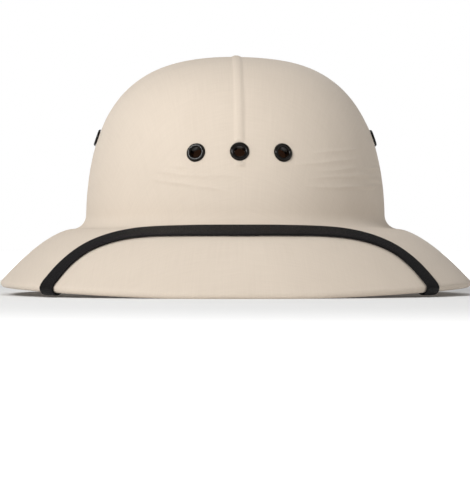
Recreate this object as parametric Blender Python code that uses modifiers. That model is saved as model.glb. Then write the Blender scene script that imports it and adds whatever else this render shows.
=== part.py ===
"""Pith helmet: a cloth-covered shell with a rolled rim, vent eyelets, a headband and a stowed chin strap.

Metres, +Z up. The wearer faces -Y; left and right are as seen from the front, so left is -X.
The helmet rests on the lowest stretches of its rim, at the front and the back, at z = 0.
Angles round the helmet are in degrees from the front, growing towards +X.
"""

import math

import bmesh
import bpy
from mathutils import Vector

# Overall size
WIDTH = 0.292
FRONT_REACH = 0.1595  # from the brim's widest line to the front of the rim
BACK_REACH = 0.1715
HEIGHT = 0.1473  # top of the crown, without the ridge
WIDEST_Y = -(BACK_REACH - FRONT_REACH) / 2
SIDES = 48  # facets round the helmet

# Crown: each level is an oval, narrowing towards the top
CROWN_HALF_WIDTH = 0.0936
CROWN_HALF_LENGTH = 0.1136
CROWN_Y = WIDEST_Y + 0.003
CROWN_OVAL = 2.05  # exponent of the oval, 2 is an ellipse
CROWN_RISE = 2.41
CROWN_FULLNESS = 2.95
CROWN_LEVELS = (0.1472, 0.1466, 0.1447, 0.1410, 0.1350, 0.1255, 0.1125, 0.0950, 0.0740)

# Brim: level at the crown's foot, then curving down to the rim
BRIM_Z = 0.0405
FOOT_RADIUS = 0.009
BRIM_CURVE = 1.52
BRIM_OVAL = 2.31
BRIM_STEPS = (0.26, 0.47, 0.65, 0.80, 0.92, 1.0)
SIDE_LIFT = 0.005  # the rim is higher at the sides
REST_SINE = 0.20  # the rim is level where the sine of the angle is under this
LIFT_CURVE = 1.2

# Walls and rim
WALL = 0.0025
RIM_RADIUS = 0.0025
RIM_TANGENT = math.radians(31)  # where the brim's outside meets the round of the rim
RIM_ANGLES = (31, 0, -32, -67.5, -112.5, -150, -188, -218)
RIM_DROP = RIM_RADIUS * math.cos(math.radians(22.5))  # centre of the round to its flat underside
INNER_BRIM_STEPS = (0.89, 0.66, 0.36)
INNER_LEVELS = (0.1466, 0.1410, 0.1305, 0.1128, 0.0940, 0.0780, 0.0640)

# Lining
GAP = 0.0003
LINING_GAP = 0.0005
LINING_WALL = 0.0010
LINING_FOOT = BRIM_Z + FOOT_RADIUS + 0.0005

# Ridge over the crown, from the front centre eyelet to the back one
RIDGE_WIDTH = 0.0056
RIDGE_TOP_WIDTH = 0.0030
RIDGE_HEIGHT = 0.0011
RIDGE_SHOULDER = 0.0002  # height of its straight sides above the shell
RIDGE_SINK = 0.0009

# Eyelets: name, angle round the helmet, height
EYELETS = (
    ("eyelet_front_left", -16.0, 0.0845),
    ("eyelet_front_centre", 0.0, 0.0850),
    ("eyelet_front_right", 16.0, 0.0845),
    ("eyelet_side_left", -86.0, 0.0975),
    ("eyelet_side_right", 86.0, 0.0975),
    ("eyelet_back_left", -164.0, 0.0845),
    ("eyelet_back_centre", 180.0, 0.0850),
    ("eyelet_back_right", 164.0, 0.0845),
)
EYELET_SIDES = 12
EYELET_BORE = 0.0032
EYELET_BARREL = 0.0038
EYELET_FLANGE = 0.0057
EYELET_CROWN = 0.0014  # height of the rolled lip above the shell
EYELET_TAIL = 0.0053
EYELET_TAIL_ROLL = 0.0010  # how far the tail is rolled out behind the lining
EYELET_TAIL_THICKNESS = 0.0004
CLEARANCE = 0.0004

# Headband
BAND_STAND_OFF = 0.0088  # from the crown's outside at its foot to the band's outer face at its top
BAND_WALL = 0.0018
BAND_FLARE = 0.0036  # the foot of the band stands this much further out
BAND_HEM = 0.0030
BAND_HEM_HEIGHT = 0.0030
BAND_BOTTOM = 0.0395
BAND_TOP = 0.0720
BAND_SIDES = 44
# Windows in the band: middle angle, length round the band, height
WINDOWS = ((-122.0, 0.062, 0.0150), (-176.0, 0.058, 0.0150), (142.0, 0.030, 0.0150))
WINDOW_Z = 0.0560
WINDOW_CORNER = 0.005
WINDOW_CUT = 0.030  # depth of the cut through the band

# Spacers between headband and lining: name, middle angle
SPACERS = (
    ("band_spacer_front_left", -26.0),
    ("band_spacer_front_right", 26.0),
    ("band_spacer_side_left", -84.0),
    ("band_spacer_side_right", 84.0),
    ("band_spacer_back_left", -148.0),
    ("band_spacer_back_right", 156.0),
)
SPACER_ARC = 9.0
SPACER_BOTTOM = 0.0510
SPACER_TOP = 0.0635

# Chin strap
STRAP_WIDTH = 0.0120
STRAP_THICKNESS = 0.0013
STRAP_GAP = 0.0006  # a flat strap on a rounded brim
# Its way over the front brim: angle round the helmet, step out from the crown's foot
STRAP_ROUTE = (
    (0.0, 0.17),
    (13.0, 0.17),
    (25.0, 0.195),
    (33.0, 0.26),
    (39.5, 0.38),
    (44.0, 0.54),
    (46.3, 0.74),
    (47.0, 0.94),
)
STRAP_RIM_ANGLES = (20, -15, -50, -85, -120)
STRAP_FREE_STEPS = (0.07, 0.25, 0.50, 0.75, 0.93)  # along the straight run under the brim
STRAP_ANCHOR = 45.0
STRAP_ANCHOR_STEPS = (0.0412, 0.0435, 0.0480, 0.0535, 0.0590)
RIVET_Z = 0.0555
RIVET_SHANK = 0.0016
RIVET_HEAD = 0.0035
RIVET_HEAD_HEIGHT = 0.0009
RIVET_TAIL_HEIGHT = 0.0004
RIVET_HOLE = 0.016  # depth of the hole through band and strap
RIVET_SIDES = 8

# Materials: colour, roughness, metallic
CLOTH = ("cream_cloth", (0.74, 0.66, 0.55), 0.85, 0.0)
LINING_CLOTH = ("brown_lining", (0.16, 0.08, 0.05), 0.9, 0.0)
LACQUER = ("black_lacquer", (0.02, 0.018, 0.018), 0.25, 0.6)
BLACK_LEATHERETTE = ("black_leatherette", (0.02, 0.018, 0.02), 0.45, 0.0)
FELT = ("brown_felt", (0.20, 0.13, 0.09), 0.95, 0.0)

UP = Vector((0, 0, 1))
QUARTER = math.pi / 2
SMALL_TURN = 2e-3  # steps for the slope of a surface
SMALL_STEP = 1e-3


def oval(angle, half_width, front, back, exponent):
    """A point of an oval in plan, from its widest line; angle in radians from the front."""
    side, ahead = math.sin(angle), math.cos(angle)
    reach = front if ahead > 0 else back
    x = math.copysign(half_width * abs(side) ** (2 / exponent), side)
    y = -math.copysign(reach * abs(ahead) ** (2 / exponent), ahead)
    return Vector((x, y, 0))


def crown_point(z, angle):
    level = (z - BRIM_Z) / (HEIGHT - BRIM_Z)
    scale = max(0.0, 1 - level**CROWN_RISE) ** (1 / CROWN_FULLNESS)
    half_length = CROWN_HALF_LENGTH * scale
    plan = oval(angle, CROWN_HALF_WIDTH * scale, half_length, half_length, CROWN_OVAL)
    return plan + Vector((0, CROWN_Y, z))


def crown_foot(angle):
    return crown_point(BRIM_Z + FOOT_RADIUS, angle)


def rim_centre(angle):
    """Centre of the rolled rim's round: level at the front and the back, lifted at the sides."""
    beyond = max(0.0, abs(math.sin(angle)) - REST_SINE) / (1 - REST_SINE)
    plan = oval(
        angle,
        WIDTH / 2 - RIM_RADIUS,
        FRONT_REACH - RIM_RADIUS,
        BACK_REACH - RIM_RADIUS,
        BRIM_OVAL,
    )
    return plan + Vector((0, WIDEST_Y, RIM_DROP + SIDE_LIFT * beyond**LIFT_CURVE))


def outward(curve, angle):
    """The level direction square to a curve round the helmet."""
    ahead = curve(angle + SMALL_TURN) - curve(angle - SMALL_TURN)
    return Vector((ahead.y, -ahead.x, 0)).normalized()


def rim_point(turn, angle, radius=RIM_RADIUS):
    """A point of the rim's round; turn in radians above the outward direction."""
    way = outward(rim_centre, angle) * math.cos(turn) + UP * math.sin(turn)
    return rim_centre(angle) + way * radius


def foot_point(bend, angle):
    """The hollow curve from the crown's wall (bend 0) to the level start of the brim."""
    way = outward(crown_foot, angle) * (1 - math.cos(bend)) - UP * math.sin(bend)
    return crown_foot(angle) + way * FOOT_RADIUS


def brim_point(step, angle):
    """The brim's outside, from the crown's foot (step 0) to the rim (step 1)."""
    start = foot_point(QUARTER, angle)
    end = rim_point(RIM_TANGENT, angle)
    point = start.lerp(end, step)
    point.z = end.z + (start.z - end.z) * (1 - step**BRIM_CURVE)
    return point


def normal(surface, value, angle):
    """The outward normal of a surface that is given by a value and an angle."""
    around = surface(value, angle + SMALL_TURN) - surface(value, angle - SMALL_TURN)
    if surface is crown_point:
        along = surface(value + SMALL_STEP / 10, angle) - surface(value, angle)
    elif value < SMALL_STEP:
        along = surface(value, angle) - surface(value + SMALL_STEP, angle)
    else:
        along = surface(value - SMALL_STEP, angle) - surface(value, angle)
    return around.cross(along).normalized()


def inside(surface, value, angle, depth):
    """A point of the surface, sunk by depth."""
    return surface(value, angle) - normal(surface, value, angle) * depth


def collection(name):
    made = bpy.data.collections.new(name)
    bpy.context.scene.collection.children.link(made)
    return made


def material(name, colour, roughness, metallic):
    made = bpy.data.materials.get(name)
    if made:
        return made
    made = bpy.data.materials.new(name)
    made.diffuse_color = (*colour, 1)
    made.use_nodes = True
    shader = made.node_tree.nodes["Principled BSDF"]
    shader.inputs["Base Color"].default_value = (*colour, 1)
    shader.inputs["Roughness"].default_value = roughness
    shader.inputs["Metallic"].default_value = metallic
    return made


def finish(name, mesh, where, look=None):
    """Closes, triangulates and links a bmesh as a new object."""
    bmesh.ops.recalc_face_normals(mesh, faces=mesh.faces)
    bmesh.ops.triangulate(mesh, faces=mesh.faces)
    data = bpy.data.meshes.new(name)
    mesh.to_mesh(data)
    mesh.free()
    made = bpy.data.objects.new(name, data)
    where.objects.link(made)
    if look:
        data.materials.append(material(*look))
        data.shade_smooth()
        data.set_sharp_from_angle(angle=math.radians(40))
    else:
        made.hide_render = True
        made.display_type = "WIRE"
    return made


def loft(rings, joined_ends=False, top=None, bottom=None):
    """Faces between rings of points, with a pole or a flat cap on each end."""
    mesh = bmesh.new()
    rows = [[mesh.verts.new(point) for point in ring] for ring in rings]
    pairs = list(zip(rows, rows[1:]))
    if joined_ends:
        pairs.append((rows[-1], rows[0]))
    count = len(rows[0])
    spans = range(count)
    for first, second in pairs:
        for i in spans:
            j = (i + 1) % count
            mesh.faces.new((first[i], first[j], second[j], second[i]))
    if not joined_ends:
        for pole, row in ((top, rows[0]), (bottom, rows[-1])):
            if pole is None:
                mesh.faces.new(row)
                continue
            tip = mesh.verts.new(pole)
            for i in spans:
                mesh.faces.new((tip, row[i], row[(i + 1) % count]))
    return mesh


def sweep(stations, section, joined_ends=False):
    """A section of (across, up) points, carried along stations of (place, across, up)."""
    rings = [[place + across * a + up * b for a, b in section] for place, across, up in stations]
    return loft(rings, joined_ends=joined_ends)


def turned(name, profile, sides, where, look):
    """A turned piece: the profile of (radius, height) runs down its outer side."""
    data = bpy.data.meshes.new(name)
    points = [(radius, 0, height) for radius, height in profile]
    edges = [(i, i + 1) for i in range(len(points) - 1)]
    if profile[0][0] > 0:
        edges.append((len(points) - 1, 0))
    data.from_pydata(points, edges, [])
    data.materials.append(material(*look))
    made = bpy.data.objects.new(name, data)
    where.objects.link(made)
    screw = made.modifiers.new("turn", "SCREW")
    screw.steps = screw.render_steps = sides
    screw.use_merge_vertices = True
    screw.merge_threshold = 1e-5
    screw.use_smooth_shade = True
    return made


def boolean(piece, tool, operation):
    step = piece.modifiers.new(tool.name, "BOOLEAN")
    step.operation = operation
    step.solver = "EXACT"
    step.object = tool


def place_along(obj, place, way):
    """Puts the object at a place with its Z axis along a direction."""
    obj.rotation_mode = "QUATERNION"
    obj.rotation_quaternion = way.to_track_quat("Z", "Y")
    obj.location = place


def drills(name, holes, radius, depth, sides, where):
    """One cutter object with a cylinder through each hole of (place, direction)."""
    mesh = bmesh.new()
    for place, way in holes:
        turn = way.to_track_quat("Z", "Y").to_matrix().to_4x4()
        turn.translation = place
        bmesh.ops.create_cone(
            mesh, cap_ends=True, segments=sides, radius1=radius, radius2=radius, depth=depth, matrix=turn
        )
    return finish(name, mesh, where)


def round_angles(count):
    return [2 * math.pi * i / count for i in range(count)]


def shell_levels():
    """The rings of the shell's outside, from the crown's top to the rim."""
    for z in CROWN_LEVELS:
        yield crown_point, z
    for bend in (0, QUARTER / 3, QUARTER * 2 / 3, QUARTER):
        yield foot_point, bend
    for step in BRIM_STEPS[:-1]:
        yield brim_point, step


def inner_levels():
    """The rings of the shell's inside, from the rim to the crown's top."""
    for step in INNER_BRIM_STEPS:
        yield brim_point, step
    for bend in (QUARTER, QUARTER / 2, 0):
        yield foot_point, bend
    for z in reversed(INNER_LEVELS):
        yield crown_point, z


def crown_stations(levels, end_z):
    """Places over the crown's middle, from end_z at the front to end_z at the back."""
    heights = [z for z in levels if z > end_z]
    front = [(crown_point(z, 0), normal(crown_point, z, 0)) for z in [end_z, *reversed(heights)]]
    top = [(Vector((0, CROWN_Y, HEIGHT)), UP)]
    back = [(crown_point(z, math.pi), normal(crown_point, z, math.pi)) for z in [*heights, end_z]]
    return [(place, Vector((1, 0, 0)), up) for place, up in front + top + back]


def make_shell(parts, cutters):
    angles = round_angles(SIDES)
    rings = [[surface(value, a) for a in angles] for surface, value in shell_levels()]
    rings += [[rim_point(math.radians(turn), a) for a in angles] for turn in RIM_ANGLES]
    rings += [[inside(surface, value, a, WALL) for a in angles] for surface, value in inner_levels()]
    top = Vector((0, CROWN_Y, HEIGHT))
    shell = finish("shell", loft(rings, top=top, bottom=top - UP * WALL), parts, CLOTH)
    half, half_top = RIDGE_WIDTH / 2, RIDGE_TOP_WIDTH / 2
    section = (
        (-half, -RIDGE_SINK),
        (half, -RIDGE_SINK),
        (half, RIDGE_SHOULDER),
        (half_top, RIDGE_HEIGHT),
        (-half_top, RIDGE_HEIGHT),
        (-half, RIDGE_SHOULDER),
    )
    ridge_end = EYELETS[1][2] + EYELET_FLANGE + GAP
    ridge = finish("ridge", sweep(crown_stations(CROWN_LEVELS, ridge_end), section), cutters)
    boolean(shell, ridge, "UNION")
    return shell


def make_lining(parts):
    """A thin brown cup inside the crown, open at its foot."""
    angles = round_angles(SIDES)
    outer, inner = WALL + LINING_GAP, WALL + LINING_GAP + LINING_WALL
    levels = [*INNER_LEVELS, LINING_FOOT]
    rings = [[inside(crown_point, z, a, outer) for a in angles] for z in levels]
    rings += [[inside(crown_point, z, a, inner) for a in angles] for z in reversed(levels)]
    top = Vector((0, CROWN_Y, HEIGHT))
    return finish(
        "crown_lining",
        loft(rings, top=top - UP * outer, bottom=top - UP * inner),
        parts,
        LINING_CLOTH,
    )


def make_eyelets(parts, cutters, walls):
    profile = (
        (EYELET_BORE, 0.0009),
        (EYELET_BARREL, EYELET_CROWN),
        (EYELET_FLANGE - 0.0008, EYELET_CROWN - 0.0001),
        (EYELET_FLANGE, 0.0006),
        (EYELET_FLANGE, 0.00005),
        (EYELET_BARREL, GAP),
        (EYELET_BARREL, EYELET_TAIL_THICKNESS - EYELET_TAIL),
        (EYELET_BARREL + EYELET_TAIL_ROLL, EYELET_TAIL_THICKNESS - EYELET_TAIL),
        (EYELET_BARREL + EYELET_TAIL_ROLL, -EYELET_TAIL),
        (EYELET_BORE, -EYELET_TAIL),
    )
    holes = []
    for name, degrees, z in EYELETS:
        angle = math.radians(degrees)
        place, way = crown_point(z, angle), normal(crown_point, z, angle)
        place_along(turned(name, profile, EYELET_SIDES, parts, LACQUER), place, way)
        holes.append((place, way))
    cutter = drills(
        "eyelet_drills", holes, EYELET_BARREL + CLEARANCE, 4 * EYELET_TAIL, EYELET_SIDES, cutters
    )
    for wall in walls:
        boolean(wall, cutter, "DIFFERENCE")


def band_station(angle, z=BAND_TOP, stand_off=0.0):
    """A place in the middle of the headband's leaning wall, with its outward direction."""
    way = outward(crown_foot, angle)
    lean = BAND_FLARE * (BAND_TOP - z) / (BAND_TOP - BAND_BOTTOM)
    place = crown_foot(angle) + way * (lean + stand_off - BAND_STAND_OFF - BAND_WALL / 2)
    place.z = z
    return place, way, UP


def make_headband(parts, cutters):
    half = BAND_WALL / 2
    drop = BAND_BOTTOM - BAND_TOP
    hem_out = BAND_FLARE * (1 + BAND_HEM_HEIGHT / drop)
    section = (
        (half + BAND_FLARE, drop),
        (half, 0),
        (-half, 0),
        (hem_out - half, drop + BAND_HEM_HEIGHT),
        (hem_out + half - BAND_HEM, drop + BAND_HEM_HEIGHT * 0.8),
        (half + BAND_FLARE - BAND_HEM, drop),
    )
    stations = [band_station(angle) for angle in round_angles(BAND_SIDES)]
    band = finish("headband", sweep(stations, section, joined_ends=True), parts, BLACK_LEATHERETTE)
    for number, (degrees, length, height) in enumerate(WINDOWS, 1):
        mesh = bmesh.new()
        bmesh.ops.create_cube(mesh, size=1)
        bmesh.ops.scale(mesh, vec=(length, WINDOW_CUT, height), verts=mesh.verts)
        corners = [e for e in mesh.edges if abs(e.verts[0].co.y - e.verts[1].co.y) > 0.01]
        bmesh.ops.bevel(
            mesh, geom=corners, offset=WINDOW_CORNER, segments=3, profile=0.5, affect="EDGES", material=-1
        )
        cutter = finish(f"window_{number}", mesh, cutters)
        place, way, _ = band_station(math.radians(degrees), WINDOW_Z)
        cutter.rotation_euler.z = math.atan2(way.y, way.x) - QUARTER
        cutter.location = place
        boolean(band, cutter, "DIFFERENCE")
    return band


def make_spacers(parts):
    depth = WALL + LINING_GAP + LINING_WALL + GAP
    for name, degrees in SPACERS:
        columns = []
        for offset in (-0.5, 0.0, 0.5):
            angle = math.radians(degrees + offset * SPACER_ARC)
            low, high = (
                inside(crown_point, z, angle, depth) for z in (SPACER_BOTTOM, SPACER_TOP)
            )
            face = BAND_WALL / 2 + GAP
            near_low = band_station(angle, low.z, face)[0]
            near_high = band_station(angle, high.z, face)[0]
            columns.append([near_low, low, high, near_high])
        finish(name, loft(columns), parts, FELT)


def strap_half():
    """Places and outward directions of the strap's middle, from the front centre to its right end."""
    lift = STRAP_GAP + STRAP_THICKNESS / 2
    points = []
    for degrees, step in STRAP_ROUTE:
        angle = math.radians(degrees)
        up = normal(brim_point, step, angle)
        points.append((brim_point(step, angle) + up * lift, up))
    rim_angle = math.radians(STRAP_ROUTE[-1][0])
    for turn in map(math.radians, STRAP_RIM_ANGLES):
        place = rim_point(turn, rim_angle, RIM_RADIUS + lift)
        points.append((place, (place - rim_centre(rim_angle)).normalized()))
    anchor = math.radians(STRAP_ANCHOR)
    held = []
    for z in STRAP_ANCHOR_STEPS:
        place, way, _ = band_station(anchor, z, BAND_WALL / 2 + GAP + STRAP_THICKNESS / 2)
        held.append((place, -way))
    leaves, arrives = points[-1], held[0]
    for step in STRAP_FREE_STEPS:
        points.append(tuple(a.lerp(b, step) for a, b in zip(leaves, arrives)))
    return points + held


def smooth_way(points, pieces):
    """Points between the given ones on a smooth curve (Catmull-Rom), directions with them."""
    made = []
    padded = [points[0], *points, points[-1]]
    for before, start, end, after in zip(padded, padded[1:], padded[2:], padded[3:]):
        for i in range(pieces):
            t = i / pieces
            mixed = []
            for a, b, c, d in zip(before, start, end, after):
                mixed.append(
                    b + (c - a) * t / 2
                    + (a * 2 - b * 5 + c * 4 - d) * t * t / 2
                    + (b * 3 - a - c * 3 + d) * t * t * t / 2
                )
            made.append(tuple(mixed))
    made.append(points[-1])
    return made


def strap_stations():
    """The whole strap, left end to right end, as (place, across, up)."""
    flip = Vector((-1, 1, 1))
    half = strap_half()
    mirrored = [(place * flip, up * flip) for place, up in reversed(half[1:])]
    line = smooth_way(mirrored + half, 2)
    stations = []
    for i, (place, up) in enumerate(line):
        ahead = line[min(i + 1, len(line) - 1)][0] - line[max(i - 1, 0)][0]
        across = ahead.cross(up).normalized()
        stations.append((place, across, across.cross(ahead).normalized()))
    return stations


def make_strap(parts):
    half, thick = STRAP_WIDTH / 2, STRAP_THICKNESS / 2
    section = ((-half, -thick), (half, -thick), (half, thick), (-half, thick))
    return finish("chin_strap", sweep(strap_stations(), section), parts, BLACK_LEATHERETTE)


def make_rivets(parts, cutters, strap, band):
    outer = BAND_WALL / 2 + GAP + STRAP_THICKNESS + GAP
    inner = -BAND_WALL / 2 - GAP
    profile = (
        (0, outer + RIVET_TAIL_HEIGHT),
        (RIVET_HEAD * 0.7, outer + RIVET_TAIL_HEIGHT),
        (RIVET_HEAD * 0.7, outer),
        (RIVET_SHANK, outer),
        (RIVET_SHANK, inner),
        (RIVET_HEAD, inner),
        (RIVET_HEAD * 0.75, inner - RIVET_HEAD_HEIGHT),
        (0, inner - RIVET_HEAD_HEIGHT),
    )
    holes = []
    for name, side in (("strap_rivet_left", -1), ("strap_rivet_right", 1)):
        place, way, _ = band_station(side * math.radians(STRAP_ANCHOR), RIVET_Z)
        way = (way + UP * BAND_FLARE / (BAND_TOP - BAND_BOTTOM)).normalized()
        place_along(turned(name, profile, RIVET_SIDES, parts, LACQUER), place, way)
        holes.append((place, way))
    cutter = drills("rivet_drills", holes, RIVET_SHANK + CLEARANCE, RIVET_HOLE, RIVET_SIDES, cutters)
    boolean(strap, cutter, "DIFFERENCE")
    boolean(band, cutter, "DIFFERENCE")


def main():
    for obj in list(bpy.data.objects):
        bpy.data.objects.remove(obj)
    parts = collection("pith_helmet")
    cutters = collection("cutters")
    shell = make_shell(parts, cutters)
    lining = make_lining(parts)
    make_eyelets(parts, cutters, (shell, lining))
    band = make_headband(parts, cutters)
    make_spacers(parts)
    strap = make_strap(parts)
    make_rivets(parts, cutters, strap, band)


main()
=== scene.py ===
"""A pith helmet at rest on a pale floor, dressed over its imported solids.

Metres, +Z up, in the row's frame: the front of the helmet faces -Y, and left is -X as seen from
there. Angles round the helmet run from the front, growing towards +X.
"""

import math
from functools import cache

import bmesh
import bpy
from mathutils import Matrix, Vector, noise


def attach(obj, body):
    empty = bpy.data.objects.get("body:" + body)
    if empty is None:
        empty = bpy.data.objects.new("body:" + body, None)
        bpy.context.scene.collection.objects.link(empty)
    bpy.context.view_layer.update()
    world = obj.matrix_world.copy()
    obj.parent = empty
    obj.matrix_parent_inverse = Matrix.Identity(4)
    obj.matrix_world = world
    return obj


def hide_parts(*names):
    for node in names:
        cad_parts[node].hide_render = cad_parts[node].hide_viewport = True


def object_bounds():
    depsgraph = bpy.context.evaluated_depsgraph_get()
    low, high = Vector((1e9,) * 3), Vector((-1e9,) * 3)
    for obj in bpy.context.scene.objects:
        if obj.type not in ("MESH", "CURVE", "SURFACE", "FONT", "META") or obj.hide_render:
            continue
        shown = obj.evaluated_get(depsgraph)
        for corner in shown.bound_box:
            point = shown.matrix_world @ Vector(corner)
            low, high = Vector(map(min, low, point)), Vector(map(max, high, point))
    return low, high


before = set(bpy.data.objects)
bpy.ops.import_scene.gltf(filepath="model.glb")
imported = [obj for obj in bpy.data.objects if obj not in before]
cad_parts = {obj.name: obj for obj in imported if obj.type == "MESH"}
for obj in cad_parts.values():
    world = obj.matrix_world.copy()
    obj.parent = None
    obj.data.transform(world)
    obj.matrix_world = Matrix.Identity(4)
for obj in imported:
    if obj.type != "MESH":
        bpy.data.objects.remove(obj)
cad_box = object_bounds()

UP = Vector((0, 0, 1))
QUARTER = math.pi / 2


# Studio. A plain pale floor that brightens to white further off, a strong soft light from the
# front left, a weak one from the right and one above, and a long lens low over the floor, almost
# straight in front.

FRAME_WIDTH_PX = 470
SENSOR_MM = 36.0
CAMERA_DISTANCE = 1.5
CAMERA_AZIMUTH = math.radians(-1.4)
CAMERA_ELEVATION = math.radians(-1.8)
PX_PER_MM = 1.585
HELMET_RISE_PX = 74  # the helmet's middle stands this far above the picture's middle


def aimed(obj, target):
    """Turns a camera or a light towards a point."""
    obj.rotation_euler = (target - obj.location).to_track_quat("-Z", "Y").to_euler()


middle = Vector((0, 0, (cad_box[0][2] + cad_box[1][2]) / 2))
camera = bpy.data.objects.new("camera", bpy.data.cameras.new("camera"))
camera.data.sensor_fit = "HORIZONTAL"
camera.data.sensor_width = SENSOR_MM
camera.data.lens = SENSOR_MM * PX_PER_MM * 1000 * CAMERA_DISTANCE / FRAME_WIDTH_PX
camera.location = middle + CAMERA_DISTANCE * Vector((
    math.sin(CAMERA_AZIMUTH) * math.cos(CAMERA_ELEVATION),
    -math.cos(CAMERA_AZIMUTH) * math.cos(CAMERA_ELEVATION),
    math.sin(CAMERA_ELEVATION),
))
aimed(camera, middle - UP * HELMET_RISE_PX / (PX_PER_MM * 1000))
bpy.context.scene.collection.objects.link(camera)
bpy.context.scene.camera = camera

bpy.context.scene.view_settings.view_transform = "Standard"


def softbox(name, place, size, power):
    """A round area light, its size in metres and its power in watts, aimed at the helmet."""
    lamp = bpy.data.lights.new(name, "AREA")
    lamp.shape = "DISK"
    lamp.size = size
    lamp.energy = power
    box = bpy.data.objects.new(name, lamp)
    box.location = place
    aimed(box, middle)
    bpy.context.scene.collection.objects.link(box)


softbox("key_light", place=Vector((-1.35, -1.9, 1.25)), size=0.85, power=47)
softbox("fill_light", place=Vector((1.9, -1.3, 0.8)), size=1.5, power=5)
softbox("top_light", place=Vector((-0.3, 0.2, 2.2)), size=1.4, power=8)

ROOM_LIGHT = 0.29  # how much the white room lights the helmet; the camera sees it pure white
world = bpy.data.worlds.new("studio")
bpy.context.scene.world = world
world.use_nodes = True
tree = world.node_tree
seen = tree.nodes.new("ShaderNodeLightPath")
soft_white = tree.nodes["Background"]
soft_white.inputs["Color"].default_value = (1, 1, 1, 1)
soft_white.inputs["Strength"].default_value = ROOM_LIGHT
plain_white = tree.nodes.new("ShaderNodeBackground")
plain_white.inputs["Color"].default_value = (1, 1, 1, 1)
either = tree.nodes.new("ShaderNodeMixShader")
tree.links.new(seen.outputs["Is Camera Ray"], either.inputs["Fac"])
tree.links.new(soft_white.outputs["Background"], either.inputs[1])
tree.links.new(plain_white.outputs["Background"], either.inputs[2])
tree.links.new(either.outputs["Shader"], tree.nodes["World Output"].inputs["Surface"])

FLOOR_REACH = 40.0
FLOOR_COLOUR = (0.90, 0.90, 0.895, 1)
GLOW_NEAR = 0.04  # the floor's own light near the helmet, and the distances where it grows to 1
GLOW_START = 0.35
GLOW_FULL = 1.3
HOLLOW_GLOW = 0.30  # a light under the helmet's hollow, so that the lining shows through the vents
HOLLOW_EDGE = 0.12  # how far from the middle it ends, and where it is full
HOLLOW_FULL = 0.05
disc = bmesh.new()
bmesh.ops.create_circle(disc, cap_ends=True, segments=96, radius=FLOOR_REACH)
floor_mesh = bpy.data.meshes.new("floor")
disc.to_mesh(floor_mesh)
disc.free()
floor = bpy.data.objects.new("floor", floor_mesh)
bpy.context.scene.collection.objects.link(floor)
paper = bpy.data.materials.new("pale_paper")
paper.use_nodes = True
paper_nodes, paper_links = paper.node_tree.nodes, paper.node_tree.links
paper_shader = paper_nodes["Principled BSDF"]
paper_shader.inputs["Base Color"].default_value = FLOOR_COLOUR
paper_shader.inputs["Roughness"].default_value = 0.9
paper_shader.inputs["Specular IOR Level"].default_value = 0.1
paper_shader.inputs["Emission Color"].default_value = (1, 1, 1, 1)
on_floor = paper_nodes.new("ShaderNodeTexCoord")
far_off = paper_nodes.new("ShaderNodeVectorMath")
far_off.operation = "LENGTH"
glow = paper_nodes.new("ShaderNodeMapRange")
glow.interpolation_type = "SMOOTHSTEP"
glow.inputs["From Min"].default_value = GLOW_START
glow.inputs["From Max"].default_value = GLOW_FULL
glow.inputs["To Min"].default_value = GLOW_NEAR
paper_links.new(on_floor.outputs["Object"], far_off.inputs[0])
paper_links.new(far_off.outputs["Value"], glow.inputs["Value"])
hollow = paper_nodes.new("ShaderNodeMapRange")
hollow.interpolation_type = "SMOOTHSTEP"
hollow.inputs["From Min"].default_value = HOLLOW_EDGE
hollow.inputs["From Max"].default_value = HOLLOW_FULL
hollow.inputs["To Max"].default_value = HOLLOW_GLOW
paper_links.new(far_off.outputs["Value"], hollow.inputs["Value"])
both = paper_nodes.new("ShaderNodeMath")
both.operation = "ADD"
paper_links.new(glow.outputs["Result"], both.inputs[0])
paper_links.new(hollow.outputs["Result"], both.inputs[1])
paper_links.new(both.outputs["Value"], paper_shader.inputs["Emission Strength"])
floor_mesh.materials.append(paper)


# Shell. One pressed fibre shell, crown and brim together, with cream cotton drawn over it and
# glued, turned round the rolled rim. The cloth is joined in a raised ridge over the middle, and
# where it was stretched round the crown it keeps a few fine level wrinkles.

HALF_WIDTH = cad_box[1][0]
HALF_LENGTH = cad_box[1][1]
WIDEST_Y = -0.006
RIDGE_HEIGHT = 0.0011
HEIGHT = cad_box[1][2] - RIDGE_HEIGHT
WALL = 0.0025

CROWN_HALF_WIDTH = 0.0936
CROWN_HALF_LENGTH = 0.1136
CROWN_Y = WIDEST_Y + 0.003
CROWN_OVAL = 2.05  # exponent of the oval in plan, 2 is an ellipse
CROWN_RISE = 2.41
CROWN_FULLNESS = 2.95
BRIM_Z = 0.0405
FOOT_RADIUS = 0.009  # the hollow curve between crown and brim
FOOT_LEVEL = FOOT_RADIUS / (HEIGHT - BRIM_Z)
FOOT_BEND = math.asin(FOOT_LEVEL ** (CROWN_RISE / 2))
BRIM_CURVE = 1.52
BRIM_OVAL = 2.31
SIDE_LIFT = 0.005  # the rim is higher at the sides
REST_SINE = 0.20  # the rim is level where the sine of the angle is under this
LIFT_CURVE = 1.2
RIM_RADIUS = 0.0025
RIM_DROP = RIM_RADIUS * math.cos(math.radians(22.5))  # centre of the round to its flat underside
RIM_TANGENT = math.radians(31)  # where the brim's outside meets the round, and its inside does
RIM_END = math.radians(-226)
SMALL = 1e-3  # step for the slope of a surface


def oval(angle, half_width, front, back, exponent):
    """A point of an oval in plan, from its widest line."""
    side, ahead = math.sin(angle), math.cos(angle)
    reach = front if ahead > 0 else back
    x = math.copysign(half_width * abs(side) ** (2 / exponent), side)
    y = -math.copysign(reach * abs(ahead) ** (2 / exponent), ahead)
    return Vector((x, y, 0))


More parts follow.
